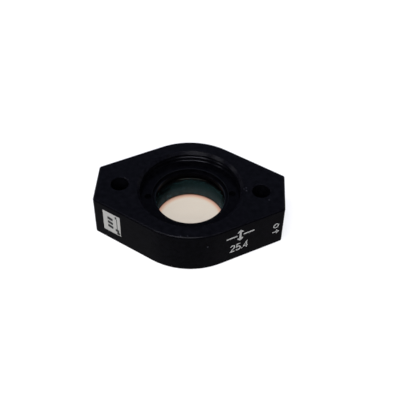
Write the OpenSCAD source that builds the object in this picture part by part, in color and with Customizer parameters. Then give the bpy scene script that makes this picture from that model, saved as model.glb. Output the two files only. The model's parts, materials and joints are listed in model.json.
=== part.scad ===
// Lens mount: a flat anodised body with a round middle and two short arms. A thin lens lies on
// a shoulder in the threaded bore, and a threaded retaining ring holds it down from above.
// Millimetres. Origin at the centre of the underside, +X along the arms, +Z out of the bore's mouth.

/* [Body] */
// Length between the two end flats
body_length = 50.8; // [49:0.1:56]
// Thickness from the underside to the top face
body_thickness = 12.7; // [12:0.1:16]
// Width of each end flat
end_flat_width = 12.7; // [10:0.1:16]
// Radius of the round middle
middle_radius = 18.2; // [17:0.1:20]
// Radius of the upright corners beside the end flats
corner_radius = 0.9; // [0.7:0.1:2]
// Chamfer along the top and bottom edges
edge_chamfer = 0.4; // [0.2:0.05:0.6]

/* [Stacking holes] */
// Distance between the two through holes
stack_spacing = 38.1; // [36.5:0.1:40]
// Diameter of each through hole
stack_hole_diameter = 4.7; // [3:0.1:5]
// Chamfer at both mouths of each through hole
stack_hole_chamfer = 0.3; // [0.1:0.05:0.5]

/* [Post hole] */
// Diameter of the tapped hole in the end flat, inside its thread
post_hole_diameter = 3.3; // [2.5:0.1:4.5]
// Chamfer at the mouth of the tapped hole
post_hole_chamfer = 0.4; // [0.2:0.05:0.6]

/* [Bore] */
// Height of the lens shoulder above the underside
shoulder_height = 6.6; // [5:0.1:7]
// Diameter of the clear opening below the shoulder
aperture_diameter = 18.8; // [12:0.1:22]
// Chamfer round the underside of the opening
aperture_chamfer = 0.25; // [0.1:0.05:0.5]
// Height of the smooth pocket wall that centres the lens
pocket_height = 0.5; // [0.4:0.05:0.6]
// Width of the chamfer round the mouth of the bore
mouth_chamfer = 0.8; // [0.4:0.05:1]
// Depth of that chamfer
mouth_chamfer_depth = 0.9; // [0.5:0.05:1.1]

/* [Thread] */
// Diameter over the thread's crests in the bore
thread_minor_diameter = 27; // [26.6:0.1:28]
// Distance from one groove to the next
thread_pitch = 1.27; // [1.15:0.01:1.5]
// Depth of each groove
thread_depth = 0.75; // [0.4:0.05:0.8]
// Width of the flat at the bottom of each groove
thread_root_width = 0.16; // [0.1:0.01:0.2]
// Depth of the first groove's centre below the top face
first_groove_depth = 1.26; // [1.2:0.01:1.4]
// Radial clearance between the ring's thread and the bore's
thread_clearance = 0.08; // [0.05:0.01:0.1]

/* [Lens] */
// Diameter of the lens
lens_diameter = 25.4; // [23:0.1:25.8]
// Thickness of the lens at its edge
lens_edge_thickness = 0.9; // [0.85:0.05:2]
// Radius of the lens's curved upper side
lens_curve_radius = 260; // [150:5:500]
// Radial clearance between the lens and its pocket
lens_clearance = 0.1; // [0.05:0.01:0.2]

/* [Retaining ring] */
// Diameter of the ring's bore
ring_bore_diameter = 18.9; // [16:0.1:20.5]
// Thickness of the ring
ring_thickness = 1.95; // [1.8:0.05:2.6]
// Diameter of the recess round the ring's bore
ring_recess_diameter = 20.6; // [19.6:0.1:20.8]
// Depth of that recess below the ring's top face
ring_recess_depth = 0.82; // [0.4:0.02:1]
// Gap left where the ring bears on the lens
ring_seat_gap = 0.02; // [0.01:0.01:0.05]
// Diameter of each spanner hole
spanner_hole_diameter = 1.9; // [1.2:0.1:2]
// Distance between the two spanner holes
spanner_spacing = 22.8; // [22.8:0.1:24]
// Depth of each spanner hole
spanner_hole_depth = 1.2; // [0.6:0.1:1.5]
// Angle from +X at which the ring came to rest
ring_angle = 6.8; // [0:0.1:180]

/* [Fine edges] */
// Bevel on the sharp rims of the lens shoulder, the recess and the ring's bore
fine_bevel = 0.1; // [0.05:0.01:0.12]

/* [Label] */
// Width of the paper label
label_width = 5.6; // [3:0.1:8]
// Height of the paper label
label_height = 7.2; // [4:0.1:9]
// Thickness of the paper label
label_thickness = 0.1; // [0.05:0.01:0.3]
// Distance from the start of the straight side to the label's middle
label_offset = 12.8; // [8:0.1:13]
// Height of the label's middle above the underside
label_middle_height = 7; // [6:0.1:7]

/* [Hidden] */

$fn = 96;
small_fn = 48;
cut_margin = 1;                 // how far a cutting shape runs past what it cuts
thread_flank_angle = 30;        // between a flank and the plane across the thread's axis
chamfer_angle = 45;
bar_width = 4;                  // side of the square bars that cut the edge chamfers
lens_profile_steps = 12;

half_length = body_length / 2;
half_flat = end_flat_width / 2;
half_spacing = stack_spacing / 2;
corner_distance = norm([half_length, half_flat]);
// Direction that each straight side faces: the side touches the round middle and ends at the flat.
side_angle = atan2(half_flat, half_length) + acos(middle_radius / corner_distance);
side_normal = [cos(side_angle), sin(side_angle)];

thread_minor_radius = thread_minor_diameter / 2;
groove_half_width = thread_root_width / 2 + thread_depth * tan(thread_flank_angle);
thread_start = shoulder_height + pocket_height;
thread_room = body_thickness - first_groove_depth - groove_half_width - thread_start;
groove_count = floor(thread_room / thread_pitch) + 1;

lens_radius = lens_diameter / 2;
ring_bore_radius = ring_bore_diameter / 2;
ring_start = shoulder_height + lens_height(ring_bore_radius) + ring_seat_gap;
ring_top = ring_start + ring_thickness;
recess_floor = ring_top - ring_recess_depth;

// Drop of the lens's curved side from its crown at distance r from the axis
function lens_sag(r) = lens_curve_radius - sqrt(pow(lens_curve_radius, 2) - pow(r, 2));

// Height of the lens's curved side above its flat side at distance r from the axis
function lens_height(r) = lens_edge_thickness + lens_sag(lens_radius) - lens_sag(r);

// Height of the centre of groove i, counted from the mouth
function groove_height(i) = body_thickness - first_groove_depth - i * thread_pitch;

// The four corners of groove i, from below to above
function groove_points(i, crest_radius) = [
    [crest_radius, groove_height(i) - groove_half_width],
    [crest_radius + thread_depth, groove_height(i) - thread_root_width / 2],
    [crest_radius + thread_depth, groove_height(i) + thread_root_width / 2],
    [crest_radius, groove_height(i) + groove_half_width]
];

// Point where the line at distance d along the side's normal crosses the line at x
function side_point(x, d) = [x, (d - x * side_normal[0]) / side_normal[1]];

// Upright cylinder with both rims chamfered
module chamfered_disc(radius, height, chamfer) {
    translate([0, 0, chamfer]) cylinder(r = radius, h = height - 2 * chamfer);
    cylinder(r1 = radius - chamfer, r2 = radius, h = chamfer);
    translate([0, 0, height - chamfer]) cylinder(r1 = radius, r2 = radius - chamfer, h = chamfer);
}

// Bars that cut the top and bottom edges of an upright face at 45 degrees
module edge_cutters(face_angle, face_distance) {
    cut_depth = edge_chamfer / sqrt(2);
    for (upper = [0, 1]) {
        rotate([0, 0, face_angle])
            translate([face_distance, 0, upper * body_thickness])
            rotate([0, upper == 1 ? -chamfer_angle : chamfer_angle, 0])
            translate([-cut_depth, -body_length / 2, -bar_width / 2])
            cube([bar_width, body_length, bar_width]);
    }
}

// What is cut away to round the upright corner between the end flat and a side
module corner_waste() {
    centre = side_point(half_length - corner_radius, middle_radius - corner_radius);
    outer_x = half_length + cut_margin;
    reach = corner_radius + cut_margin;
    difference() {
        translate([0, 0, -cut_margin])
            linear_extrude(body_thickness + 2 * cut_margin)
            polygon([
                centre,
                [outer_x, centre[1]],
                side_point(outer_x, middle_radius + cut_margin),
                centre + reach * side_normal
            ]);
        translate([centre[0], centre[1], 0])
            chamfered_disc(corner_radius, body_thickness, edge_chamfer, $fn = small_fn);
    }
}

// The arm that reaches from the middle to the end flat on +X
module arm() {
    tangent_point = middle_radius * side_normal;
    difference() {
        linear_extrude(body_thickness)
            polygon([
                [0, 0],
                [tangent_point[0], -tangent_point[1]],
                [half_length, -half_flat],
                [half_length, half_flat],
                tangent_point
            ]);
        edge_cutters(0, half_length);
        edge_cutters(side_angle, middle_radius);
        edge_cutters(-side_angle, middle_radius);
        corner_waste();
        mirror([0, 1, 0]) corner_waste();
    }
}

// Small bevel round the upper rim of a hole of this radius, whose rim is at this height
module rim_bevel(radius, height) {
    translate([0, 0, height - fine_bevel])
        cylinder(r1 = radius, r2 = radius + 2 * fine_bevel, h = 2 * fine_bevel);
}

// Solid inside a row of ring grooves, from below the thread to above the top face
module thread_form(crest_radius) {
    rotate_extrude()
        polygon(concat(
            [[0, thread_start], [crest_radius, thread_start]],
            [for (i = [groove_count - 1:-1:0]) each groove_points(i, crest_radius)],
            [[crest_radius, body_thickness + cut_margin], [0, body_thickness + cut_margin]]
        ));
}

// Everything that is bored out of the middle
module bore_cutters() {
    aperture_radius = aperture_diameter / 2;
    mouth_slope = mouth_chamfer / mouth_chamfer_depth;
    translate([0, 0, -cut_margin])
        cylinder(r = aperture_radius, h = body_thickness);
    translate([0, 0, -cut_margin])
        cylinder(
            r1 = aperture_radius + aperture_chamfer + cut_margin,
            r2 = aperture_radius,
            h = aperture_chamfer + cut_margin
        );
    rim_bevel(aperture_radius, shoulder_height);
    translate([0, 0, shoulder_height])
        cylinder(r = lens_radius + lens_clearance, h = body_thickness);
    thread_form(thread_minor_radius);
    translate([0, 0, body_thickness - mouth_chamfer_depth])
        cylinder(
            r1 = thread_minor_radius,
            r2 = thread_minor_radius + mouth_chamfer + mouth_slope * cut_margin,
            h = mouth_chamfer_depth + cut_margin
        );
}

// Chamfered through hole for a rod or a long screw
module stack_hole_cutter() {
    radius = stack_hole_diameter / 2;
    flare = stack_hole_chamfer + cut_margin;
    translate([0, 0, -cut_margin])
        cylinder(r = radius, h = body_thickness + 2 * cut_margin, $fn = small_fn);
    translate([0, 0, -cut_margin])
        cylinder(r1 = radius + flare, r2 = radius, h = flare, $fn = small_fn);
    translate([0, 0, body_thickness - stack_hole_chamfer])
        cylinder(r1 = radius, r2 = radius + flare, h = flare, $fn = small_fn);
}

// Tapped hole from the +X end flat into the through hole behind it
module post_hole_cutter() {
    radius = post_hole_diameter / 2;
    flare = post_hole_chamfer + cut_margin;
    translate([half_spacing, 0, body_thickness / 2])
        rotate([0, 90, 0])
        cylinder(r = radius, h = half_length - half_spacing + cut_margin, $fn = small_fn);
    translate([half_length - post_hole_chamfer, 0, body_thickness / 2])
        rotate([0, 90, 0])
        cylinder(r1 = radius, r2 = radius + flare, h = flare, $fn = small_fn);
}

module mount_body() {
    color("#131417") difference() {
        union() {
            chamfered_disc(middle_radius, body_thickness, edge_chamfer);
            arm();
            mirror([1, 0, 0]) arm();
        }
        bore_cutters();
        for (side = [-1, 1]) {
            translate([side * half_spacing, 0, 0]) stack_hole_cutter();
        }
        post_hole_cutter();
    }
}

module retaining_ring() {
    color("#1b1c20") difference() {
        intersection() {
            thread_form(thread_minor_radius - thread_clearance);
            translate([0, 0, ring_start])
                cylinder(r = thread_minor_radius + thread_depth, h = ring_thickness);
        }
        translate([0, 0, ring_start - cut_margin])
            cylinder(r = ring_bore_radius, h = ring_thickness + 2 * cut_margin);
        translate([0, 0, recess_floor])
            cylinder(d = ring_recess_diameter, h = ring_recess_depth + cut_margin);
        rim_bevel(ring_bore_radius, recess_floor);
        rim_bevel(ring_recess_diameter / 2, ring_top);
        for (turn = [0, 180]) {
            rotate([0, 0, ring_angle + turn])
                translate([spanner_spacing / 2, 0, ring_top - spanner_hole_depth])
                cylinder(d = spanner_hole_diameter, h = spanner_hole_depth + cut_margin, $fn = small_fn);
        }
    }
}

module lens() {
    color("#a9cdd0") translate([0, 0, shoulder_height])
        rotate_extrude()
        polygon(concat(
            [[0, 0], [lens_radius, 0]],
            [for (i = [lens_profile_steps:-1:0])
                let (r = lens_radius * i / lens_profile_steps)
                [r, lens_height(r)]]
        ));
}

module paper_label() {
    color("#e9e6df") rotate([0, 0, side_angle - 180])
        translate([
            middle_radius,
            -label_offset - label_width / 2,
            label_middle_height - label_height / 2
        ])
        cube([label_thickness, label_width, label_height]);
}

mount_body();
retaining_ring();
lens();
paper_label();
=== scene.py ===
"""Dresses the lens mount: its finishes, printed marks, glass, floor, lights and camera.

Every length below is in metres unless its name ends in _mm. The frame is the mount's own: the
origin is at the centre of the underside, +X runs along the arms and +Z out of the bore's mouth.
"""

import json
import logging
import math
from dataclasses import dataclass
from enum import Enum

import bpy
import numpy as np
from mathutils import Matrix, Vector

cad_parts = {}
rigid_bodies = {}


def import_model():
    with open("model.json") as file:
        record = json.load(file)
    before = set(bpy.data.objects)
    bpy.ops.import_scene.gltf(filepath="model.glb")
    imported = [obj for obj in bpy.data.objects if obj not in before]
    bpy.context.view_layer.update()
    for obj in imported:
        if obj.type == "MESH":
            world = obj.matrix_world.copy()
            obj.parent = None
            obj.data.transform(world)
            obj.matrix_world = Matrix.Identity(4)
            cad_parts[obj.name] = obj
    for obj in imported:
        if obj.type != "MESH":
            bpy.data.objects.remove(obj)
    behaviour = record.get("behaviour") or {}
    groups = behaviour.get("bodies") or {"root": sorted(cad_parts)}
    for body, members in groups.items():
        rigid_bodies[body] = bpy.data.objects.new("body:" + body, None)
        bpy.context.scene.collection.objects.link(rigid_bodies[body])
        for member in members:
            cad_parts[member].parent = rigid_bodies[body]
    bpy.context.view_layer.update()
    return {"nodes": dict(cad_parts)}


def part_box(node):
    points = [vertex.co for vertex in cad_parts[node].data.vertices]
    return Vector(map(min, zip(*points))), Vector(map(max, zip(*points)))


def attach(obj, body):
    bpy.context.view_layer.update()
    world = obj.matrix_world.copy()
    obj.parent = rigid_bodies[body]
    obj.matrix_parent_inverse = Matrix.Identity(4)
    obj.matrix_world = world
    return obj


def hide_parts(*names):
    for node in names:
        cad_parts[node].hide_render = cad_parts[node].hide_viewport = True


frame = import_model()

LOG = logging.getLogger("lens_mount")
MM = 0.001
# The rigid body that every added piece rides on.
CARRIER = "mount"


class Slot(Enum):
    """The record's material slots of the added pieces, listed here but given to none of them."""

    GLASS = "coated_glass"
    WHITE_INK = "white_ink"
    BLACK_INK = "black_ink"


class Side(Enum):
    """The two straight sides that face the front, by the sign of X on each."""

    LEFT = -1
    RIGHT = 1


class Fade(Enum):
    """How a mask runs out between two distances, as the Map Range node names it."""

    EVEN = "LINEAR"
    SOFT = "SMOOTHSTEP"


# ---------------------------------------------------------------------------------------------
# Colour and node helpers
# ---------------------------------------------------------------------------------------------


def linear(colour: str) -> tuple[float, float, float, float]:
    """Turns an sRGB hex colour into linear light.

    Args:
        colour: the colour as "#rrggbb".

    Returns:
        Linear red, green and blue from 0 to 1, and a full alpha.
    """
    levels = [int(colour[i : i + 2], 16) / 255 for i in (1, 3, 5)]
    red, green, blue = (v / 12.92 if v <= 0.04045 else ((v + 0.055) / 1.055) ** 2.4 for v in levels)
    return red, green, blue, 1.0


def add_node(
    tree: bpy.types.NodeTree, kind: str, settings: dict | None = None, inputs: dict | None = None
) -> bpy.types.Node:
    """Adds one node, sets its properties and fills or links its inputs.

    Args:
        tree: the node tree that gets the node.
        kind: Blender's name of the node's type.
        settings: property names and their values.
        inputs: input names or indices, each with a value or with the socket that feeds it.

    Returns:
        The new node.
    """
    node = tree.nodes.new(kind)
    for name, value in (settings or {}).items():
        setattr(node, name, value)
    for name, value in (inputs or {}).items():
        if isinstance(value, bpy.types.NodeSocket):
            tree.links.new(value, node.inputs[name])
        else:
            node.inputs[name].default_value = value
    return node


def new_tree(name: str) -> tuple[bpy.types.Material, bpy.types.NodeTree, bpy.types.Node]:
    """Makes an empty node material.

    Args:
        name: the material's name.

    Returns:
        The material, its node tree and its output node.
    """
    material = bpy.data.materials.new(name)
    material.use_nodes = True
    tree = material.node_tree
    tree.nodes.clear()
    return material, tree, add_node(tree, "ShaderNodeOutputMaterial")


def seen_rays(tree: bpy.types.NodeTree) -> bpy.types.NodeSocket:
    """Tells the rays that show a background, straight or in metal or glass, from those that light.

    Args:
        tree: the node tree of the floor or the world.

    Returns:
        A socket that is 1 for camera, glossy and transmission rays and 0 for all others.
    """
    path = add_node(tree, "ShaderNodeLightPath")
    seen = path.outputs["Is Camera Ray"]
    for kind in ("Is Glossy Ray", "Is Transmission Ray"):
        either = add_node(
            tree,
            "ShaderNodeMath",
            settings={"operation": "MAXIMUM"},
            inputs={0: seen, 1: path.outputs[kind]},
        )
        seen = either.outputs["Value"]
    return seen


def overlaid(
    tree: bpy.types.NodeTree, base: bpy.types.NodeSocket | tuple, layers: list[tuple]
) -> bpy.types.NodeSocket:
    """Lays colours over one another, each through its own mask.

    Args:
        tree: the material's node tree.
        base: the lowest colour.
        layers: the mask and the colour of each layer, the top one last.

    Returns:
        The colour that shows.
    """
    for mask, colour in layers:
        mix = add_node(
            tree,
            "ShaderNodeMix",
            settings={"data_type": "RGBA"},
            inputs={"Factor": mask, "A": base, "B": colour},
        )
        base = mix.outputs["Result"]
    return base


def kept_sideways(
    tree: bpy.types.NodeTree,
    place: bpy.types.NodeSocket,
    mask: bpy.types.NodeSocket,
    reach_mm: tuple[float, float],
    fade: Fade,
) -> bpy.types.NodeSocket:
    """Fades a mask by the distance from the plane X = 0.

    Args:
        tree: the material's node tree.
        place: the Object coordinates.
        mask: the mask.
        reach_mm: the distance at which nothing of it is left, and the one at which it is whole.
        fade: how it runs out between them.

    Returns:
        The faded mask.
    """
    along = add_node(tree, "ShaderNodeSeparateXYZ", inputs={"Vector": place})
    sideways = add_node(
        tree, "ShaderNodeMath", settings={"operation": "ABSOLUTE"}, inputs={0: along.outputs["X"]}
    )
    gone, whole = reach_mm
    kept = add_node(
        tree,
        "ShaderNodeMapRange",
        settings={"interpolation_type": fade.value},
        inputs={
            "Value": sideways.outputs["Value"],
            "From Min": gone * MM,
            "From Max": whole * MM,
        },
    )
    faded = add_node(
        tree,
        "ShaderNodeMath",
        settings={"operation": "MULTIPLY"},
        inputs={0: mask, 1: kept.outputs["Result"]},
    )
    return faded.outputs["Value"]


def wave_scale(spacing_mm: float) -> float:
    """Scale at which a wave texture, whose phase is 20 times the place, repeats at a spacing."""
    return math.pi / 10 / (spacing_mm * MM)


# ---------------------------------------------------------------------------------------------
# Finishes
# ---------------------------------------------------------------------------------------------


@dataclass(frozen=True)
class Zone:
    """A band round the bore's axis, from one radius and height to another, in millimetres."""

    radius_mm: tuple[float, float]
    height_mm: tuple[float, float]

    def mask(self, tree: bpy.types.NodeTree, place: bpy.types.NodeSocket) -> bpy.types.NodeSocket:
        """Picks out what lies in the zone.

        Args:
            tree: the material's node tree.
            place: the Object coordinates.

        Returns:
            A socket that is 1 inside the zone and 0 outside it.
        """
        flat = add_node(
            tree,
            "ShaderNodeVectorMath",
            settings={"operation": "MULTIPLY"},
            inputs={0: place, 1: (1, 1, 0)},
        )
        reach = add_node(
            tree,
            "ShaderNodeVectorMath",
            settings={"operation": "LENGTH"},
            inputs={0: flat.outputs["Vector"]},
        )
        height = add_node(tree, "ShaderNodeSeparateXYZ", inputs={"Vector": place})
        inside = None
        for value, (low, high) in (
            (reach.outputs["Value"], self.radius_mm),
            (height.outputs["Z"], self.height_mm),
        ):
            half = (high - low) / 2 * MM
            near = add_node(
                tree,
                "ShaderNodeMath",
                settings={"operation": "COMPARE"},
                inputs={0: value, 1: low * MM + half, 2: half},
            )
            if inside is not None:
                near = add_node(
                    tree,
                    "ShaderNodeMath",
                    settings={"operation": "MULTIPLY"},
                    inputs={0: inside, 1: near.outputs["Value"]},
                )
            inside = near.outputs["Value"]
        return inside


@dataclass(frozen=True)
class AnodisedAluminium:
    """Machined aluminium, blasted with fine glass beads, then anodised and dyed black.

    The dyed oxide layer swallows nearly all light, so the eye gets the colour of a dull dark glass:
    a weak, broad sheen off the flats and brighter lines only where a chamfer faces a lamp. The
    blasted grain breaks the sheen up, and the dye takes a little unevenly from place to place.
    """

    name: str = "anodised_aluminium_black"
    dye: str = "#020203"
    thin_dye: str = "#050507"
    specular_level: float = 0.0092
    roughness_smooth: float = 0.12
    roughness_rough: float = 0.16
    grain_mm: float = 0.22
    grain_height_mm: float = 0.004
    mottle_mm: float = 1.4
    mottle_span: tuple[float, float] = (0.35, 0.65)

    def relief(self, tree: bpy.types.NodeTree, place: bpy.types.NodeSocket) -> bpy.types.NodeSocket:
        """The blasted grain.

        Args:
            tree: the material's node tree.
            place: the Object coordinates.

        Returns:
            Its height from 0 to 1.
        """
        # Real bead marks are about 0.05 mm wide; they are drawn coarser, so that they still show.
        grain = add_node(
            tree,
            "ShaderNodeTexNoise",
            inputs={"Vector": place, "Scale": 1 / (self.grain_mm * MM), "Detail": 2.0},
        )
        return grain.outputs["Fac"]

    def tone(self, tree: bpy.types.NodeTree, place: bpy.types.NodeSocket) -> bpy.types.NodeSocket:
        """The dye's colour, a little uneven.

        Args:
            tree: the material's node tree.
            place: the Object coordinates.

        Returns:
            The colour.
        """
        mottle = add_node(
            tree,
            "ShaderNodeTexNoise",
            inputs={"Vector": place, "Scale": 1 / (self.mottle_mm * MM), "Detail": 4.0},
        )
        low, high = self.mottle_span
        uneven = add_node(
            tree,
            "ShaderNodeMapRange",
            inputs={"Value": mottle.outputs["Fac"], "From Min": low, "From Max": high},
        )
        colour = add_node(
            tree,
            "ShaderNodeMix",
            settings={"data_type": "RGBA"},
            inputs={
                "Factor": uneven.outputs["Result"],
                "A": linear(self.dye),
                "B": linear(self.thin_dye),
            },
        )
        return colour.outputs["Result"]

    def build(self) -> bpy.types.Material:
        """Builds the material.

        Returns:
            A Principled material on Object coordinates.
        """
        material, tree, output = new_tree(self.name)
        place = add_node(tree, "ShaderNodeTexCoord").outputs["Object"]
        relief = self.relief(tree, place)
        roughness = add_node(
            tree,
            "ShaderNodeMapRange",
            inputs={
                "Value": relief,
                "To Min": self.roughness_smooth,
                "To Max": self.roughness_rough,
            },
        )
        bump = add_node(
            tree,
            "ShaderNodeBump",
            inputs={"Height": relief, "Distance": self.grain_height_mm * MM, "Strength": 1.0},
        )
        shader = add_node(
            tree,
            "ShaderNodeBsdfPrincipled",
            inputs={
                "Base Color": self.tone(tree, place),
                "Roughness": roughness.outputs["Result"],
                "Specular IOR Level": self.specular_level,
                "Normal": bump.outputs["Normal"],
            },
        )
        tree.links.new(shader.outputs["BSDF"], output.inputs["Surface"])
        self.finish(tree, place, shader)
        return material

    def finish(
        self, tree: bpy.types.NodeTree, place: bpy.types.NodeSocket, shader: bpy.types.Node
    ) -> None:
        """Leaves the finish as it is; the body and the ring add their worn places and painted light
        here.

        Args:
            tree: the material's node tree.
            place: the Object coordinates.
            shader: the Principled shader.
        """


@dataclass(frozen=True)
class BlastedBody(AnodisedAluminium):
    """The body's finish, with the bored wall below the lens and the marks of handling.

    The beads don't reach into the narrow bore: its wall keeps upright tool streaks, and light is
    painted on it, paler towards its open lower end and its rear, as the light from below that it
    turns back to the eye. Its topmost row is painted black as shade, and its foot is painted a
    browner warm shade. A highlight is painted on the sharp rim above it, and a few scuffs on the
    outside show as paler specks. The chamfers' worn patches are painted a little paler, partly as a
    painted highlight. The beads blunt the lower half of the outer edge's chamfer, so only its upper
    half draws a line.
    """

    # The wall below the lens has light painted on it: these tones and masks make it paler towards its
    # lower end and its rear.
    bore: Zone = Zone((9.0, 9.47), (-0.5, 6.49))
    bore_lower_painted_light: str = "#4a5860"
    bore_rear_painted_light: str = "#213a41"
    bore_fade_mm: tuple[float, float] = (4.8, 0.8)
    bore_reach_mm: tuple[float, float] = (3.5, 9.0)
    bore_side: tuple[float, float, float] = (0.34, 0.94, 0)
    # Painted shade: the wall's top row is painted black, and this tone also lies under the wall's
    # painted light.
    bore_top: Zone = Zone((9.0, 9.47), (5.95, 6.49))
    bore_shade_tone: str = "#020303"
    # Painted warm shade at the wall's foot.
    foot: Zone = Zone((9.0, 9.47), (-0.5, 0.6))
    foot_shade_tone: str = "#45382e"
    feed_mm: float = 0.3
    feed_depth_mm: float = 0.05
    streak_mm: float = 0.7
    streak_stretch: float = 20.0
    streak_reach: float = 0.55
    # A painted highlight on the sharp rim above the wall, kept to the middle and faded out sideways.
    rim: Zone = Zone((9.38, 9.58), (6.49, 6.65))
    rim_highlight_tone: str = "#5c666a"
    rim_highlight_reach_mm: tuple[float, float] = (4.5, 2.5)
    # Worn patches on the chamfers, painted a little paler, partly as a painted highlight.
    edge_slope: float = 0.69
    edge_slope_reach: float = 0.05
    edge_wear_and_highlight: str = "#0a0a0e"
    wear_mm: float = 0.9
    patch_span: tuple[float, float] = (0.3, 0.7)
    blunt: Zone = Zone((16.5, 30.0), (12.3, 12.5))
    blunt_tone: str = "#020203"
    dull_roughness: float = 1.0
    scuff: str = "#2a2a2e"
    scuff_core: float = 0.25
    scuffs_mm: tuple[tuple[float, float, float, float], ...] = (
        (5.67, -17.35, 8.73, 0.34),
        (15.0, 0.8, 12.7, 0.22),
        (15.1, -0.3, 12.7, 0.26),
        (14.4, 0.3, 12.7, 0.16),
        (-1.25, -17.6, 12.7, 0.24),
        (0.5, -17.4, 12.7, 0.2),
        (21.1, -3.3, 12.7, 0.2),
    )

    def streaks(
        self, tree: bpy.types.NodeTree, place: bpy.types.NodeSocket, rear: bpy.types.NodeSocket
    ) -> bpy.types.NodeSocket:
        """Painted light on the bored wall: paler towards its lower end and its rear, with upright
        streaks.

        The streaks are noise that is stretched along the bore.

        Args:
            tree: the material's node tree.
            place: the Object coordinates.
            rear: the mask of the wall's rear.

        Returns:
            The colour.
        """
        upright = add_node(
            tree,
            "ShaderNodeVectorMath",
            settings={"operation": "MULTIPLY"},
            inputs={0: place, 1: (1, 1, 1 / self.streak_stretch)},
        )
        lines = add_node(
            tree,
            "ShaderNodeTexNoise",
            inputs={
                "Vector": upright.outputs["Vector"],
                "Scale": 1 / (self.streak_mm * MM),
                "Detail": 2.0,
            },
        )
        low, high = self.patch_span
        uneven = add_node(
            tree,
            "ShaderNodeMapRange",
            inputs={
                "Value": lines.outputs["Fac"],
                "From Min": low,
                "From Max": high,
                "To Min": 1 - self.streak_reach,
                "To Max": 1.0,
            },
        )
        height = add_node(tree, "ShaderNodeSeparateXYZ", inputs={"Vector": place})
        above, below = self.bore_fade_mm
        lower = add_node(
            tree,
            "ShaderNodeMapRange",
            settings={"interpolation_type": Fade.SOFT.value},
            inputs={
                "Value": height.outputs["Z"],
                "From Min": above * MM,
                "From Max": below * MM,
            },
        )
        layers = []
        for mask, tone in ((rear, self.bore_rear_painted_light), (lower.outputs["Result"], self.bore_lower_painted_light)):
            share = add_node(
                tree,
                "ShaderNodeMath",
                settings={"operation": "MULTIPLY"},
                inputs={0: mask, 1: uneven.outputs["Result"]},
            )
            layers.append((share.outputs["Value"], linear(tone)))
        return overlaid(tree, linear(self.bore_shade_tone), layers)

    def rear(self, tree: bpy.types.NodeTree, place: bpy.types.NodeSocket) -> bpy.types.NodeSocket:
        """Picks out the rear of the bored wall, where the most light is painted.

        Args:
            tree: the material's node tree.
            place: the Object coordinates.

        Returns:
            A socket that rises to 1 towards the rear.
        """
        along = add_node(
            tree,
            "ShaderNodeVectorMath",
            settings={"operation": "DOT_PRODUCT"},
            inputs={0: place, 1: self.bore_side},
        )
        near, far = self.bore_reach_mm
        reach = add_node(
            tree,
            "ShaderNodeMapRange",
            settings={"interpolation_type": Fade.SOFT.value},
            inputs={
                "Value": along.outputs["Value"],
                "From Min": near * MM,
                "From Max": far * MM,
            },
        )
        return reach.outputs["Result"]

    def edges(self, tree: bpy.types.NodeTree, place: bpy.types.NodeSocket) -> bpy.types.NodeSocket:
        """Picks out the chamfers by the slope of their faces, in worn patches that are also a painted
        highlight.

        Args:
            tree: the material's node tree.
            place: the Object coordinates.

        Returns:
            A socket from 0 off them to 1 where one is rubbed most.
        """
        slope = add_node(
            tree,
            "ShaderNodeSeparateXYZ",
            inputs={"Vector": add_node(tree, "ShaderNodeNewGeometry").outputs["True Normal"]},
        )
        chamfer = add_node(
            tree,
            "ShaderNodeMath",
            settings={"operation": "COMPARE"},
            inputs={0: slope.outputs["Z"], 1: self.edge_slope, 2: self.edge_slope_reach},
        )
        patches = add_node(
            tree,
            "ShaderNodeTexNoise",
            inputs={"Vector": place, "Scale": 1 / (self.wear_mm * MM), "Detail": 3.0},
        )
        low, high = self.patch_span
        rubbed = add_node(
            tree,
            "ShaderNodeMapRange",
            inputs={"Value": patches.outputs["Fac"], "From Min": low, "From Max": high},
        )
        share = add_node(
            tree,
            "ShaderNodeMath",
            settings={"operation": "MULTIPLY"},
            inputs={0: chamfer.outputs["Value"], 1: rubbed.outputs["Result"]},
        )
        return share.outputs["Value"]

    def scuffed(self, tree: bpy.types.NodeTree, place: bpy.types.NodeSocket) -> bpy.types.NodeSocket:
        """Small soft spots where handling rubbed the dye.

        Args:
            tree: the material's node tree.
            place: the Object coordinates.

        Returns:
            A socket that is 1 in the middle of each scuff and 0 away from them.
        """
        worn = None
        for x, y, z, radius in self.scuffs_mm:
            away = add_node(
                tree,
                "ShaderNodeVectorMath",
                settings={"operation": "DISTANCE"},
                inputs={0: place, 1: (x * MM, y * MM, z * MM)},
            )
            spot = add_node(
                tree,
                "ShaderNodeMapRange",
                settings={"interpolation_type": Fade.SOFT.value},
                inputs={
                    "Value": away.outputs["Value"],
                    "From Min": radius * MM,
                    "From Max": radius * MM * self.scuff_core,
                },
            )
            spot = spot.outputs["Result"]
            if worn is not None:
                both = add_node(
                    tree,
                    "ShaderNodeMath",
                    settings={"operation": "MAXIMUM"},
                    inputs={0: worn, 1: spot},
                )
                spot = both.outputs["Value"]
            worn = spot
        return worn

    def feed(
        self, tree: bpy.types.NodeTree, place: bpy.types.NodeSocket, bore: bpy.types.NodeSocket
    ) -> bpy.types.NodeSocket:
        """The boring bar's feed marks: a sine of the height, on the bored wall alone.

        Args:
            tree: the material's node tree.
            place: the Object coordinates.
            bore: the mask of the bored wall.

        Returns:
            Their height from 0 to 1.
        """
        # A real boring bar leaves a feed of about 0.1 mm; it is drawn coarser, so that it still shows.
        marks = add_node(
            tree,
            "ShaderNodeTexWave",
            settings={"bands_direction": "Z"},
            inputs={"Vector": place, "Scale": wave_scale(self.feed_mm)},
        )
        height = add_node(
            tree,
            "ShaderNodeMath",
            settings={"operation": "MULTIPLY"},
            inputs={0: marks.outputs["Fac"], 1: bore},
        )
        return height.outputs["Value"]

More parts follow.
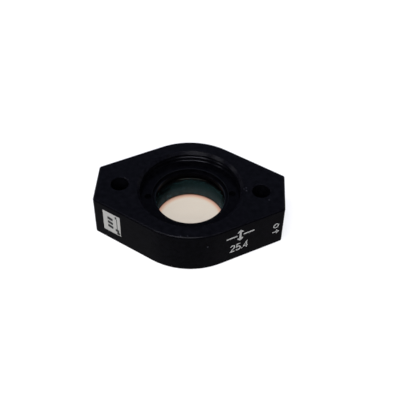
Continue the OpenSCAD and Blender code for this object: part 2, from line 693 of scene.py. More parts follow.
    def finish(
        self, tree: bpy.types.NodeTree, place: bpy.types.NodeSocket, shader: bpy.types.Node
    ) -> None:
        """Adds the wall's painted light and shade, the rim's painted highlight, the edges and the
        scuffs.

        Args:
            tree: the material's node tree.
            place: the Object coordinates.
            shader: the Principled shader.
        """
        bore, rim, blunt = (zone.mask(tree, place) for zone in (self.bore, self.rim, self.blunt))
        rear = self.rear(tree, place)
        # A highlight is painted on the rim, only near the middle.
        painted_rim_highlight = kept_sideways(tree, place, rim, self.rim_highlight_reach_mm, Fade.EVEN)
        # Painted light on the wall, painted shade on its top row and foot, the rim's painted highlight,
        # chamfer wear that is partly a painted highlight, the blunt lower half of the outer chamfer and
        # the scuffs.
        layers = [
            (bore, self.streaks(tree, place, rear)),
            (self.bore_top.mask(tree, place), linear(self.bore_shade_tone)),
            (self.foot.mask(tree, place), linear(self.foot_shade_tone)),
            (painted_rim_highlight, linear(self.rim_highlight_tone)),
            (self.edges(tree, place), linear(self.edge_wear_and_highlight)),
            (blunt, linear(self.blunt_tone)),
            (self.scuffed(tree, place), linear(self.scuff)),
        ]
        colour = overlaid(tree, shader.inputs["Base Color"].links[0].from_socket, layers)
        inner = add_node(
            tree, "ShaderNodeMath", settings={"operation": "MAXIMUM"}, inputs={0: bore, 1: rim}
        )
        # Where the most light is painted, at the rear of the wall and its rim, the finish is also
        # metallic.
        metallic_rear = add_node(
            tree,
            "ShaderNodeMath",
            settings={"operation": "MULTIPLY"},
            inputs={0: inner.outputs["Value"], 1: rear},
        )
        dull = add_node(
            tree,
            "ShaderNodeMath",
            settings={"operation": "MAXIMUM"},
            inputs={0: inner.outputs["Value"], 1: blunt},
        )
        roughness = add_node(
            tree,
            "ShaderNodeMix",
            inputs={
                "Factor": dull.outputs["Value"],
                "A": shader.inputs["Roughness"].links[0].from_socket,
                "B": self.dull_roughness,
            },
        )
        bump = add_node(
            tree,
            "ShaderNodeBump",
            inputs={
                "Height": self.feed(tree, place, bore),
                "Distance": self.feed_depth_mm * MM,
                "Strength": 1.0,
                "Normal": shader.inputs["Normal"].links[0].from_socket,
            },
        )
        tree.links.new(colour, shader.inputs["Base Color"])
        tree.links.new(roughness.outputs["Result"], shader.inputs["Roughness"])
        tree.links.new(metallic_rear.outputs["Value"], shader.inputs["Metallic"])
        tree.links.new(bump.outputs["Normal"], shader.inputs["Normal"])


@dataclass(frozen=True)
class TurnedRing(AnodisedAluminium):
    """The ring's finish: turned on a lathe and dyed without blasting, so it is smoother and darker.

    The tool leaves fine circles about the axis, which run the light out into short arcs.
    """

    name: str = "anodised_aluminium_turned"
    dye: str = "#010102"
    thin_dye: str = "#030304"
    specular_level: float = 0.006
    feed_mm: float = 0.16
    wobble: float = 0.4
    wobble_scale: float = 0.3
    grain_height_mm: float = 0.002
    # A painted highlight on the rim of the ring's recess.
    recess_rim: Zone = Zone((10.28, 10.42), (9.4, 9.7))
    recess_rim_highlight_tone: str = "#0a0b0d"
    # A painted highlight on the rim of the ring's bore, only towards both sides.
    bore_rim: Zone = Zone((9.4, 9.57), (8.65, 8.85))
    bore_rim_highlight_tone: str = "#15171a"
    bore_rim_highlight_reach_mm: tuple[float, float] = (6.5, 9.2)

    def relief(self, tree: bpy.types.NodeTree, place: bpy.types.NodeSocket) -> bpy.types.NodeSocket:
        """The lathe's circles: a sine of the distance from the axis.

        Args:
            tree: the material's node tree.
            place: the Object coordinates.

        Returns:
            Their height from 0 to 1.
        """
        # A real feed is about 0.08 mm a turn; it is drawn twice as coarse, so that it still shows.
        circles = add_node(
            tree,
            "ShaderNodeTexWave",
            settings={"wave_type": "RINGS", "rings_direction": "Z"},
            inputs={
                "Vector": place,
                "Scale": wave_scale(self.feed_mm),
                "Distortion": self.wobble,
                "Detail": 1.0,
                "Detail Scale": self.wobble_scale,
            },
        )
        return circles.outputs["Fac"]

    def finish(
        self, tree: bpy.types.NodeTree, place: bpy.types.NodeSocket, shader: bpy.types.Node
    ) -> None:
        """Paints highlights on the two rims inside the ring, its bore's only towards both sides.

        Args:
            tree: the material's node tree.
            place: the Object coordinates.
            shader: the Principled shader.
        """
        recess_rim, bore_rim = (rim.mask(tree, place) for rim in (self.recess_rim, self.bore_rim))
        # The bore rim's painted highlight, kept only towards both sides.
        worn = kept_sideways(tree, place, bore_rim, self.bore_rim_highlight_reach_mm, Fade.SOFT)
        layers = [(recess_rim, linear(self.recess_rim_highlight_tone)), (worn, linear(self.bore_rim_highlight_tone))]
        colour = overlaid(tree, shader.inputs["Base Color"].links[0].from_socket, layers)
        tree.links.new(colour, shader.inputs["Base Color"])


@dataclass(frozen=True)
class CoatedGlass:
    """Polished optical crown glass with an anti-reflection coating.

    The lens is so thin that it bends almost nothing. What the coating turns back is a faint teal,
    and so what it lets through is a little warm. Each ray meets two such surfaces.
    """

    name: str = "coated_crown_glass"
    passed: str = "#ece7e0"
    mirrored: str = "#8fe0d0"
    reflectance: float = 0.003
    roughness: float = 0.03

    def build(self) -> bpy.types.Material:
        """Builds the material.

        Returns:
            A clear warm pane mixed with a little coloured mirror.
        """
        material, tree, output = new_tree(self.name)
        clear = add_node(tree, "ShaderNodeBsdfTransparent", inputs={"Color": linear(self.passed)})
        coating = add_node(
            tree,
            "ShaderNodeBsdfPrincipled",
            inputs={
                "Base Color": linear(self.mirrored),
                "Metallic": 1.0,
                "Roughness": self.roughness,
            },
        )
        mixed = add_node(
            tree,
            "ShaderNodeMixShader",
            inputs={0: self.reflectance, 1: clear.outputs["BSDF"], 2: coating.outputs["BSDF"]},
        )
        tree.links.new(mixed.outputs["Shader"], output.inputs["Surface"])
        return material


@dataclass(frozen=True)
class LabelPaper:
    """Uncoated self-adhesive label paper: matte and off-white, with a faint cloudy fibre."""

    name: str = "label_paper"
    sheet: str = "#95948d"
    cloud: str = "#86857e"
    cloud_mm: float = 0.6
    fibre_height_mm: float = 0.01
    roughness: float = 0.85

    def build(self) -> bpy.types.Material:
        """Builds the material.

        Returns:
            A Principled material on Object coordinates.
        """
        material, tree, output = new_tree(self.name)
        place = add_node(tree, "ShaderNodeTexCoord").outputs["Object"]
        fibre = add_node(
            tree,
            "ShaderNodeTexNoise",
            inputs={"Vector": place, "Scale": 1 / (self.cloud_mm * MM), "Detail": 4.0},
        )
        colour = add_node(
            tree,
            "ShaderNodeMix",
            settings={"data_type": "RGBA"},
            inputs={
                "Factor": fibre.outputs["Fac"],
                "A": linear(self.sheet),
                "B": linear(self.cloud),
            },
        )
        bump = add_node(
            tree,
            "ShaderNodeBump",
            inputs={
                "Height": fibre.outputs["Fac"],
                "Distance": self.fibre_height_mm * MM,
                "Strength": 1.0,
            },
        )
        shader = add_node(
            tree,
            "ShaderNodeBsdfPrincipled",
            inputs={
                "Base Color": colour.outputs["Result"],
                "Roughness": self.roughness,
                "Normal": bump.outputs["Normal"],
            },
        )
        tree.links.new(shader.outputs["BSDF"], output.inputs["Surface"])
        return material


@dataclass(frozen=True)
class PrintingInk:
    """Printing ink: a thin, flat film that covers a little unevenly."""

    name: str
    full: str
    worn: str
    specular_level: float
    patch_mm: float = 0.35
    roughness: float = 0.6

    def build(self) -> bpy.types.Material:
        """Builds the material.

        Returns:
            A Principled material on Object coordinates.
        """
        material, tree, output = new_tree(self.name)
        place = add_node(tree, "ShaderNodeTexCoord").outputs["Object"]
        patches = add_node(
            tree,
            "ShaderNodeTexNoise",
            inputs={"Vector": place, "Scale": 1 / (self.patch_mm * MM), "Detail": 2.0},
        )
        colour = add_node(
            tree,
            "ShaderNodeMix",
            settings={"data_type": "RGBA"},
            inputs={
                "Factor": patches.outputs["Fac"],
                "A": linear(self.full),
                "B": linear(self.worn),
            },
        )
        shader = add_node(
            tree,
            "ShaderNodeBsdfPrincipled",
            inputs={
                "Base Color": colour.outputs["Result"],
                "Roughness": self.roughness,
                "Specular IOR Level": self.specular_level,
            },
        )
        tree.links.new(shader.outputs["BSDF"], output.inputs["Surface"])
        return material


@dataclass(frozen=True)
class ThermalInk(PrintingInk):
    """Black of a thermal transfer print: a flat, slightly brown black with hardly any sheen."""

    name: str = "thermal_ink_black"
    full: str = "#0c0c0c"
    worn: str = "#1c1c1a"
    specular_level: float = 0.1


@dataclass(frozen=True)
class ScreenInk(PrintingInk):
    """Cured white screen ink: matte, and greyer where it lies thin over the blasted grain."""

    name: str = "screen_ink_white"
    full: str = "#aaaaa5"
    worn: str = "#868681"
    specular_level: float = 0.2


@dataclass(frozen=True)
class StudioPaper:
    """Seamless white paper: it takes shadows, and its glow alone is seen, never cast on the mount.

    A glow knows no shadow, so a warm shade is painted on the paper at the foot of the bore. Far
    from the lamps the glow rises, so that the paper runs into the background without a line.
    """

    name: str = "studio_paper_white"
    sheet: str = "#7c7c7c"
    glow: float = 0.73
    far_glow: float = 1.0
    glow_reach: tuple[float, float] = (0.2, 0.9)
    # A painted shade on the paper beside the bore's foot, darker and warmer towards the wall.
    foot_shade_reach_mm: tuple[float, float] = (7.65, 9.65)
    foot_shade_tones: tuple[tuple[float, str], ...] = (
        (8.0, "#ffffff"),
        (8.4, "#fff6ee"),
        (8.8, "#fbd9cd"),
        (9.2, "#e5c0b6"),
        (9.4, "#c49c90"),
        (9.6, "#a9897c"),
    )

    def foot(self, tree: bpy.types.NodeTree, reach: bpy.types.NodeSocket) -> bpy.types.NodeSocket:
        """The painted shade that stands for the bore wall's shadow on the paper beside its foot.

        Args:
            tree: the material's node tree.
            reach: the distance from the bore's axis.

        Returns:
            A colour that is white away from the foot.
        """
        low, high = self.foot_shade_reach_mm
        place = add_node(
            tree,
            "ShaderNodeMapRange",
            inputs={"Value": reach, "From Min": low * MM, "From Max": high * MM},
        )
        ramp = add_node(tree, "ShaderNodeValToRGB", inputs={"Fac": place.outputs["Result"]})
        stops = ramp.color_ramp.elements
        while len(stops) < len(self.foot_shade_tones):
            stops.new(1.0)
        for stop, (radius, tone) in zip(stops, self.foot_shade_tones):
            stop.position = (radius - low) / (high - low)
            stop.color = linear(tone)
        inside = add_node(
            tree,
            "ShaderNodeMath",
            settings={"operation": "LESS_THAN"},
            inputs={0: reach, 1: high * MM},
        )
        foot_shade_tint = add_node(
            tree,
            "ShaderNodeMix",
            settings={"data_type": "RGBA"},
            inputs={
                "Factor": inside.outputs["Value"],
                "A": linear("#ffffff"),
                "B": ramp.outputs["Color"],
            },
        )
        return foot_shade_tint.outputs["Result"]

    def build(self) -> bpy.types.Material:
        """Builds the material.

        Returns:
            A diffuse sheet plus an even glow that lights nothing.
        """
        material, tree, output = new_tree(self.name)
        away = add_node(
            tree,
            "ShaderNodeVectorMath",
            settings={"operation": "LENGTH"},
            inputs={0: add_node(tree, "ShaderNodeTexCoord").outputs["Object"]},
        )
        reach = away.outputs["Value"]
        # The painted shade at the bore's foot darkens and warms both the sheet and the glow.
        foot_shade_tint = self.foot(tree, reach)
        near, far = self.glow_reach
        glow = add_node(
            tree,
            "ShaderNodeMapRange",
            settings={"interpolation_type": Fade.SOFT.value},
            inputs={
                "Value": reach,
                "From Min": near,
                "From Max": far,
                "To Min": self.glow,
                "To Max": self.far_glow,
            },
        )
        strength = add_node(
            tree,
            "ShaderNodeMath",
            settings={"operation": "MULTIPLY"},
            inputs={0: seen_rays(tree), 1: glow.outputs["Result"]},
        )
        paper = add_node(
            tree,
            "ShaderNodeMix",
            settings={"data_type": "RGBA", "blend_type": "MULTIPLY"},
            inputs={"Factor": 1.0, "A": linear(self.sheet), "B": foot_shade_tint},
        )
        sheet = add_node(tree, "ShaderNodeBsdfDiffuse", inputs={"Color": paper.outputs["Result"]})
        light = add_node(
            tree,
            "ShaderNodeEmission",
            inputs={"Color": foot_shade_tint, "Strength": strength.outputs["Value"]},
        )
        both = add_node(
            tree,
            "ShaderNodeAddShader",
            inputs={0: sheet.outputs["BSDF"], 1: light.outputs["Emission"]},
        )
        tree.links.new(both.outputs["Shader"], output.inputs["Surface"])
        return material


# ---------------------------------------------------------------------------------------------
# Meshes from numpy grids
# ---------------------------------------------------------------------------------------------


def grid_faces(rows: int, columns: int, close_rows: bool) -> np.ndarray:
    """Quads of a grid whose vertex (i, j) has the index i * columns + j, and whose rows are rings.

    Args:
        rows: how many rows of vertices there are.
        columns: how many vertices a row has, the last of which joins the first.
        close_rows: whether the last row joins the first.

    Returns:
        An array of shape (quads, 4).
    """
    i = np.arange(rows if close_rows else rows - 1)[:, None]
    j = np.arange(columns)[None, :]
    next_i = (i + 1) % rows
    next_j = (j + 1) % columns
    corners = [i * columns + j, next_i * columns + j, next_i * columns + next_j, i * columns + next_j]
    return np.stack(corners, axis=-1).reshape(-1, 4)


def make_piece(
    name: str, points: np.ndarray, faces: list, material: bpy.types.Material, smooth: bool
) -> bpy.types.Object:
    """Makes a mesh object that stands at the origin, with its place in its mesh.

    Args:
        name: the object's name.
        points: the vertices, of shape (count, 3).
        faces: one list of vertex indices per face.
        material: what the faces are made of.
        smooth: whether the faces are shaded smooth.

    Returns:
        The linked object.
    """
    mesh = bpy.data.meshes.new(name)
    mesh.from_pydata(points.tolist(), [], faces)
    mesh.materials.append(material)
    mesh.polygons.foreach_set("use_smooth", np.full(len(mesh.polygons), smooth))
    mesh.validate()
    piece = bpy.data.objects.new(name, mesh)
    bpy.context.scene.collection.objects.link(piece)
    return piece


def turned(profile: np.ndarray, steps: int) -> tuple[np.ndarray, list]:
    """Surface that a closed profile sweeps about the Z axis.

    Point (i, j) is (r_i cos t_j, r_i sin t_j, z_i), where (r_i, z_i) is the profile's point i and t_j
    runs once round in equal steps. The profile starts and ends on the axis, where a fan closes it.

    Args:
        profile: radius and height of each point, of shape (count, 2), from below to above.
        steps: how many steps go round.

    Returns:
        The vertices and the faces.
    """
    angle = np.linspace(0, 2 * math.pi, steps, endpoint=False)
    ring = profile[1:-1]
    points = np.stack(
        [
            ring[:, :1] * np.cos(angle),
            ring[:, :1] * np.sin(angle),
            np.repeat(ring[:, 1:], steps, axis=1),
        ],
        axis=-1,
    ).reshape(-1, 3)
    low, high = len(points), len(points) + 1
    poles = np.array([[0, 0, profile[0, 1]], [0, 0, profile[-1, 1]]])
    around = np.arange(steps)
    ahead = (around + 1) % steps
    last = (len(ring) - 1) * steps
    faces = grid_faces(len(ring), steps, False)[:, ::-1].tolist()
    faces += np.stack([ahead, around, np.full(steps, low)], axis=-1).tolist()
    faces += np.stack([last + around, last + ahead, np.full(steps, high)], axis=-1).tolist()
    return np.vstack([points, poles]), faces


@dataclass(frozen=True)
class FacePlane:
    """A flat side of the mount: a point on it, the reading direction and up."""

    origin: Vector
    right: Vector
    up: Vector

    @property
    def outward(self) -> Vector:
        """The way out of the face."""
        return self.right.cross(self.up)

    def place(self, u: np.ndarray, v: np.ndarray, w: np.ndarray) -> np.ndarray:
        """Points at u to the right, v up and w out of the face.

        Args:
            u: distances to the right.
            v: distances up.
            w: distances out of the face.

        Returns:
            An array of shape (..., 3).
        """
        axes = np.array([self.right, self.up, self.outward])
        return np.array(self.origin) + np.stack([u, v, w], axis=-1) @ axes


@dataclass(frozen=True)
class InkFilm:
    """How thick printing lies on a surface, how far it is keyed in, and how sharply it can turn."""

    height: float = 0.012 * MM
    keyed: float = 0.004 * MM
    least_cosine: float = 0.4


def stroke(
    path: np.ndarray, width: float, closed: bool, plane: FacePlane, film: InkFilm
) -> tuple[np.ndarray, np.ndarray]:
    """Flat bar of ink along a path on a face: a rectangle carried along the path.

    Point (i, k) is p_i + a_k * m_i in the face, at height h_k, where m_i is the path's mitre at
    point i, half the width divided by the cosine of half the turn there, and (a_k, h_k) are the
    rectangle's four corners.

    Args:
        path: points in the face's own right and up, of shape (count, 2).
        width: the stroke's width.
        closed: whether the path's end meets its start.
        plane: the face.
        film: the ink's heights, and the least cosine that a mitre is divided by.

    Returns:
        The vertices and the quads.
    """
    before = np.roll(path, 1, axis=0) if closed else np.vstack([path[:1], path[:-1]])
    after = np.roll(path, -1, axis=0) if closed else np.vstack([path[1:], path[-1:]])
    into, out = path - before, after - path
    if not closed:
        into[0], out[-1] = out[0], into[-1]
    into /= np.linalg.norm(into, axis=1, keepdims=True)
    out /= np.linalg.norm(out, axis=1, keepdims=True)
    along = into + out
    along /= np.linalg.norm(along, axis=1, keepdims=True)
    across = np.stack([-along[:, 1], along[:, 0]], axis=-1)
    cosine = (along * into).sum(axis=1, keepdims=True)
    half = width / 2 / np.clip(cosine, film.least_cosine, 1)
    side = np.array([-1, 1, 1, -1])
    level = np.array([-film.keyed, -film.keyed, film.height, film.height])
    flat = path[:, None, :] + side[None, :, None] * (across * half)[:, None, :]
    points = plane.place(flat[..., 0], flat[..., 1], np.broadcast_to(level, flat.shape[:2]))
    quads = grid_faces(len(path), len(side), closed)
    if not closed:
        last = (len(path) - 1) * len(side)
        quads = np.vstack([quads, [[3, 2, 1, 0]], [[last, last + 1, last + 2, last + 3]]])
    return points.reshape(-1, 3), quads


def arc(centre: tuple[float, float], radius: float, start: float, end: float, steps: int) -> np.ndarray:
    """Points along a circular arc: centre + radius * (cos t, sin t).

    Args:
        centre: the circle's centre.
        radius: the circle's radius.
        start: the first angle, in degrees.
        end: the last angle, in degrees.
        steps: how many steps it takes.

    Returns:
        An array of shape (steps + 1, 2).
    """
    t = np.radians(np.linspace(start, end, steps + 1))
    return np.array(centre) + radius * np.stack([np.cos(t), np.sin(t)], axis=-1)


# Points of a stroke, right and up.
Path = tuple[tuple[float, float], ...]


@dataclass(frozen=True)
class Mark:
    """One stroke of a printed mark, in its face's own right and up."""

    path: np.ndarray
    width: float
    closed: bool = False


def print_marks(
    name: str, marks: list[Mark], plane: FacePlane, material: bpy.types.Material
) -> None:
    """Prints several strokes on a face as one piece that rides on the mount.

    Args:
        name: the piece's name.
        marks: the strokes.
        plane: the face.
        material: the ink.
    """
    points, quads, count = [], [], 0
    film = InkFilm()
    for mark in marks:
        more_points, more_quads = stroke(mark.path, mark.width, mark.closed, plane, film)
        points.append(more_points)
        quads.append(more_quads + count)
        count += len(more_points)
    piece = make_piece(name, np.vstack(points), np.vstack(quads).tolist(), material, False)
    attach(piece, CARRIER)


# ---------------------------------------------------------------------------------------------
# Pieces of the mount
# ---------------------------------------------------------------------------------------------


def dress(node: str, material: bpy.types.Material) -> None:
    """Gives a CAD node its finish.

    Args:
        node: the node's name.
        material: the finish.
    """
    for slot in frame["nodes"][node].material_slots:
        slot.material = material


@dataclass
class MountBody:
    """The anodised body: a round middle between two arms that end in narrow flats."""

    end_flat_width: float = 12.7 * MM

    def __post_init__(self) -> None:
        """Works out the straight sides, which touch the round middle and end at the flats."""
        half_length, self.middle_radius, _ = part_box("mount_body")[1]
        half_flat = self.end_flat_width / 2
        corner = math.hypot(half_length, half_flat)
        self.side_angle = math.atan2(half_flat, half_length) + math.acos(self.middle_radius / corner)

    def side_plane(self, side: Side, lift: float = 0.0) -> FacePlane:
        """One of the two straight sides that face the front.

        Args:
            side: which of them.
            lift: how far above the side the plane lies.

        Returns:
            The plane, with its origin at the foot of the line where the side meets the middle.
        """
        normal = Vector((side.value * math.cos(self.side_angle), -math.sin(self.side_angle), 0))
        up = Vector((0, 0, 1))
        return FacePlane((self.middle_radius + lift) * normal, up.cross(normal), up)

    def build(self, finish: BlastedBody) -> None:
        """Dresses the body.

        Args:
            finish: the body's anodised finish.
        """
        dress("mount_body", finish.build())
        LOG.info("mount_body: dressed")


@dataclass
class RetainingRing:
    """The threaded ring that holds the lens down."""

    def build(self, finish: TurnedRing) -> None:
        """Dresses the ring.

        Args:
            finish: the ring's anodised finish.
        """
        dress("retaining_ring", finish.build())
        LOG.info("retaining_ring: dressed")


@dataclass
class ThinLens:
    """The lens: flat below, with a shallow spherical upper side and a polished edge."""

    curve_radius: float = 260 * MM
    rim_chamfer: float = 0.12 * MM
    seat_film: float = 0.05 * MM
    cap_rows: int = 24
    steps: int = 128

    def build(self, finish: CoatedGlass) -> None:
        """Builds the glass in the place of its CAD node.

        The profile's upper side follows z = crown - (R - sqrt(R * R - r * r)). The glass floats on
        a thin film above its shoulder, so that the two faces never flicker against each other.

        Args:
            finish: the coated glass.
        """
        low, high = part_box("lens")
        radius = high.x
        under = low.z + self.seat_film
        sag = self.curve_radius - math.sqrt(self.curve_radius**2 - radius**2)
        reach = np.linspace(radius - self.rim_chamfer, 0, self.cap_rows)
        cap = high.z - (self.curve_radius - np.sqrt(self.curve_radius**2 - reach**2))
        profile = np.vstack(
            [
                [[0, under], [radius - self.rim_chamfer, under]],
                [[radius, under + self.rim_chamfer], [radius, high.z - sag - self.rim_chamfer]],
                np.stack([reach, cap], axis=-1),
            ]
        )
        points, faces = turned(profile, self.steps)
        piece = make_piece("lens_glass", points, faces, finish.build(), True)
        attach(piece, CARRIER)
        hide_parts("lens")
        LOG.info("lens_glass: %d faces", len(faces))


@dataclass
class PaperLabel:
    """The small label on the front left side, with plain printed bars, a rule and blocks.

    The printed paths are right and up from the label's middle.
    """

    middle: tuple[float, float] = (-12.8 * MM, 7.0 * MM)
    bar_width: float = 1.0 * MM
    bar_mm: Path = ((-1.3, 1.65), (0.4, 1.4))
    bar_pitch_mm: float = 1.5
    bar_count: int = 3
    rule_width: float = 0.24 * MM
    rule_mm: Path = ((1.75, 2.5), (1.75, -1.4))
    block_width: float = 0.95 * MM
    blocks_mm: tuple[Path, ...] = (
        ((1.2, 2.9), (1.75, 2.85)),
        ((1.15, -1.85), (2.35, -1.95)),
        ((1.6, -2.85), (2.6, -2.9)),
    )

    def build(self, body: MountBody, paper: LabelPaper, ink: PrintingInk) -> None:
        """Dresses the label and prints its bars, its rule and its blocks.

        Args:
            body: the mount that the label is stuck on.
            paper: the label's paper.
            ink: the ink of its print.
        """
        dress("paper_label", paper.build())
        bars = [np.array(self.bar_mm) - (0, row * self.bar_pitch_mm) for row in range(self.bar_count)]
        strokes = [(path, self.bar_width) for path in bars]
        strokes.append((self.rule_mm, self.rule_width))
        strokes += [(path, self.block_width) for path in self.blocks_mm]
        marks = [Mark(np.array(path) * MM + self.middle, width) for path, width in strokes]
        plane = body.side_plane(Side.LEFT, self.label_reach(body))
        print_marks("label_print", marks, plane, ink.build())
        LOG.info("paper_label: %d marks", len(marks))

    def label_reach(self, body: MountBody) -> float:
        """How far the label's face stands off the side.

        Args:
            body: the mount that the label is stuck on.

        Returns:
            The label's thickness.
        """
        plane = body.side_plane(Side.LEFT)
        points = [Vector(v.co) for v in frame["nodes"]["paper_label"].data.vertices]
        return max((point - plane.origin).dot(plane.outward) for point in points)


@dataclass
class SidePrint:
    """White marks on the front right side: a thin lens symbol, the lens's size and a hole sign.

    Each mark's own points are in millimetres, right and up from its place.
    """

    symbol_at: tuple[float, float] = (5.6 * MM, 9.05 * MM)
    number_at: tuple[float, float] = (2.85 * MM, 3.4 * MM)
    sign_at: tuple[float, float] = (16.5 * MM, 7.35 * MM)
    broad_pen: float = 0.588 * MM
    pen: float = 0.42 * MM
    fine_pen: float = 0.34 * MM

    def symbol(self) -> list[Mark]:
        """The symbol of a thin lens on its axis: an upright double arrow across a line.

        Returns:
            The arrow's shaft and heads, and the axis on both sides of it.
        """
        centre = np.array(self.symbol_at)
        head = np.array([[-0.75, 1.05], [0, 1.8], [0.75, 1.05]]) * MM
        return [
            Mark(centre + np.array([[0, -1.5], [0, 1.5]]) * MM, self.broad_pen),
            Mark(centre + head, self.pen),
            Mark(centre + head * [1, -1], self.pen),
            Mark(centre + np.array([[-4.1, 0], [-0.9, 0]]) * MM, self.pen),
            Mark(centre + np.array([[0.9, 0], [4.1, 0]]) * MM, self.pen),
        ]

    def number(self) -> list[Mark]:
        """The plain number 25.4, drawn from arcs and straight strokes.

        Returns:
            One stroke for each of its four signs.
        """
        corner = np.array(self.number_at)
        two = np.vstack([arc((0.6, 1.85), 0.6, 160, -35, 10), [[0.05, 0.1], [1.25, 0.1]]])
        five = np.vstack(
            [[[1.15, 2.45], [0.25, 2.45], [0.12, 1.35]], arc((0.55, 0.8), 0.7, 100, -150, 12)]
        )
        dot = np.array([[0.0, 0.05], [0.0, 0.4]])
        four = np.array([[1.25, 0.75], [0.0, 0.75], [0.9, 2.45], [0.9, 0.0]])
        places = [(0.0, two), (1.7, five), (3.45, dot), (3.95, four)]
        return [Mark(corner + (path + [shift, 0]) * MM, self.fine_pen) for shift, path in places]

    def hole_sign(self) -> list[Mark]:
        """A small circle with an arrow below it, which points to the tapped end.

        Returns:
            The circle, the arrow's shaft and its head.
        """
        centre = np.array(self.sign_at)
        circle = arc((0, 0), 0.7, 0, 345, 23)
        shaft = np.array([[-0.9, -2.4], [0.8, -2.4]])
        head = np.array([[0.2, -1.75], [0.9, -2.4], [0.2, -3.05]])
        return [
            Mark(centre + circle * MM, self.fine_pen, True),
            Mark(centre + shaft * MM, self.fine_pen),
            Mark(centre + head * MM, self.fine_pen),
        ]

    def build(self, body: MountBody, ink: PrintingInk) -> None:
        """Prints the marks.

        Args:
            body: the mount that they are printed on.
            ink: the white ink.
        """
        plane = body.side_plane(Side.RIGHT)
        material = ink.build()
        for name, marks in (
            ("side_symbol", self.symbol()),
            ("side_number", self.number()),
            ("side_hole_sign", self.hole_sign()),
        ):
            print_marks(name, marks, plane, material)
            LOG.info("%s: %d marks", name, len(marks))


# ---------------------------------------------------------------------------------------------
# Studio
# ---------------------------------------------------------------------------------------------


def direction(azimuth: float, elevation: float) -> Vector:
    """Direction from the mount: (sin a cos e, -cos a cos e, sin e), which is -Y where both are 0.

    Args:
        azimuth: the angle a, in degrees, anticlockwise from -Y as seen from above.
        elevation: the angle e, in degrees.

    Returns:
        A vector of length 1.
    """
    a, e = math.radians(azimuth), math.radians(elevation)
    return Vector((math.sin(a) * math.cos(e), -math.cos(a) * math.cos(e), math.sin(e)))


@dataclass(frozen=True)
class SoftBox:
    """A flat lamp that faces the mount from a direction in degrees."""

    name: str
    azimuth: float
    elevation: float
    distance: float
    width: float
    height: float
    radiance: float
    colour: str = "#ffffff"

    def build(self) -> None:
        """Adds the lamp, whose power is its radiance times its area times pi."""
        data = bpy.data.lights.new(self.name, "AREA")
        data.shape = "RECTANGLE"
        data.size = self.width
        data.size_y = self.height
        data.energy = self.radiance * self.width * self.height * math.pi
        data.color = linear(self.colour)[:3]
        away = direction(self.azimuth, self.elevation)
        lamp = bpy.data.objects.new(self.name, data)
        lamp.location = away * self.distance
        lamp.rotation_euler = away.to_track_quat("Z", "Y").to_euler()
        bpy.context.scene.collection.objects.link(lamp)


@dataclass(frozen=True)
class Studio:
    """White paper on a bench, soft lamps, and a pale room that is dark above."""

    floor_size: float = 6.0
    room_seen: float = 1.0
    room_pale: float = 0.5
    room_dark: float = 0.06
    band_top: float = 0.2
    band_fade: float = 0.45
    # Each lamp: azimuth, elevation, distance, width, height, radiance and colour.
    lamps: tuple[SoftBox, ...] = (
        SoftBox("key_softbox", -4, 40, 0.6, 0.5, 0.042, 52.0, "#f6f7ff"),
        SoftBox("left_softbox", -50, 35, 0.6, 0.34, 0.04, 28.0, "#f6f7ff"),
        SoftBox("side_softbox", -88, 22, 0.6, 0.3, 0.044, 15.0, "#f6f7ff"),
        SoftBox("right_softbox", 40, 36, 0.6, 0.24, 0.04, 9.0, "#f6f7ff"),
        SoftBox("top_softbox", -2, 78, 0.7, 0.4, 0.024, 125.0, "#eeeeff"),
        SoftBox("upper_left_softbox", -48, 74, 0.6, 0.2, 0.018, 66.0, "#eeeeff"),
        SoftBox("far_left_softbox", -78, 62, 0.6, 0.18, 0.018, 75.0, "#eeeeff"),
        SoftBox("back_softbox", 182, 46, 0.7, 0.6, 0.5, 2.1, "#ccd6ff"),
    )

    def build_floor(self) -> None:
        """Lays the sheet of white paper under the mount."""
        half = self.floor_size / 2
        points = np.array([[-half, -half, 0], [half, -half, 0], [half, half, 0], [-half, half, 0]])
        floor = make_piece("bench_paper", points, [[0, 1, 2, 3]], StudioPaper().build(), False)

    def build_room(self) -> None:
        """Makes the world: white up to the band's top where it is seen, and dark overhead."""
        world = bpy.data.worlds.new("room")
        bpy.context.scene.world = world
        world.use_nodes = True
        tree = world.node_tree
        tree.nodes.clear()
        output = add_node(tree, "ShaderNodeOutputWorld")
        direction = add_node(tree, "ShaderNodeTexCoord").outputs["Generated"]
        height = add_node(tree, "ShaderNodeSeparateXYZ", inputs={"Vector": direction})
        pale = add_node(
            tree,
            "ShaderNodeMapRange",
            inputs={
                "Value": seen_rays(tree),
                "To Min": self.room_pale,
                "To Max": self.room_seen,
            },
        )
        level = add_node(
            tree,
            "ShaderNodeMapRange",
            settings={"interpolation_type": Fade.SOFT.value},
            inputs={
                "Value": height.outputs["Z"],
                "From Min": self.band_top,
                "From Max": self.band_fade,
                "To Min": pale.outputs["Result"],
                "To Max": self.room_dark,
            },
        )
        sky = add_node(
            tree,
            "ShaderNodeBackground",
            inputs={"Color": linear("#ffffff"), "Strength": level.outputs["Result"]},
        )
        tree.links.new(sky.outputs["Background"], output.inputs["Surface"])

    def build(self) -> None:
        """Sets up the floor, the room and the lamps."""
        self.build_floor()
        self.build_room()
        for lamp in self.lamps:
            lamp.build()
        LOG.info("studio: %d lamps", len(self.lamps))


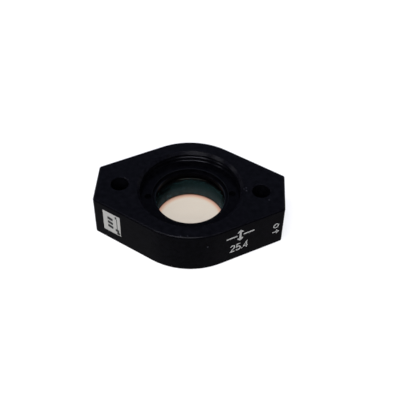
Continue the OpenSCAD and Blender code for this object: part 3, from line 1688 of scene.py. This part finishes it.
@dataclass(frozen=True)
class ViewCamera:
    """A camera in front of the mount, above it and a little to its right.

    It looks along a line that is turned by the azimuth from +Y and tilted down by the elevation,
    rolls about that line, and then shifts sideways and up in its own plane.
    """

    azimuth: float = 2.442
    elevation: float = 46.257
    roll: float = 1.226
    distance: float = 205.152 * MM
    right_shift: float = 2.703 * MM
    up_shift: float = 0.908 * MM
    aim_height: float = 6.35 * MM
    focal_length_mm: float = 67.3
    sensor_mm: float = 36.0
    nearest: float = 10 * MM

    def build(self) -> None:
        """Adds the camera and makes it the scene's."""
        azimuth, roll = math.radians(self.azimuth), math.radians(self.roll)
        back = direction(self.azimuth, self.elevation)
        level = Vector((math.cos(azimuth), math.sin(azimuth), 0))
        up = back.cross(level)
        right = math.cos(roll) * level + math.sin(roll) * up
        above = math.cos(roll) * up - math.sin(roll) * level
        place = Vector((0, 0, self.aim_height)) + self.distance * back
        place += self.right_shift * right + self.up_shift * above
        data = bpy.data.cameras.new("view_camera")
        data.sensor_fit = "HORIZONTAL"
        data.sensor_width = self.sensor_mm
        data.lens = self.focal_length_mm
        data.clip_start = self.nearest
        camera = bpy.data.objects.new("view_camera", data)
        turn = Matrix((right, above, back)).transposed().to_4x4()
        camera.matrix_world = Matrix.Translation(place) @ turn
        bpy.context.scene.collection.objects.link(camera)
        bpy.context.scene.camera = camera
        LOG.info("camera: %.3f m from the mount", self.distance)


def corners(box: tuple) -> list[list[float]]:
    """Lowest and highest corner of a box as plain numbers.

    Args:
        box: the two corners.

    Returns:
        The same corners as lists.
    """
    return [[float(value) for value in corner] for corner in box]


def main() -> None:
    """Builds the camera, the studio and every piece of the mount."""
    logging.basicConfig(level=logging.INFO, format="%(name)s: %(message)s")
    bpy.context.scene.view_settings.view_transform = "Standard"
    ViewCamera().build()
    Studio().build()
    body = MountBody()
    body.build(BlastedBody())
    RetainingRing().build(TurnedRing())
    ThinLens().build(CoatedGlass())
    PaperLabel().build(body, LabelPaper(), ThermalInk())
    SidePrint().build(body, ScreenInk())


if __name__ == "__main__":
    main()
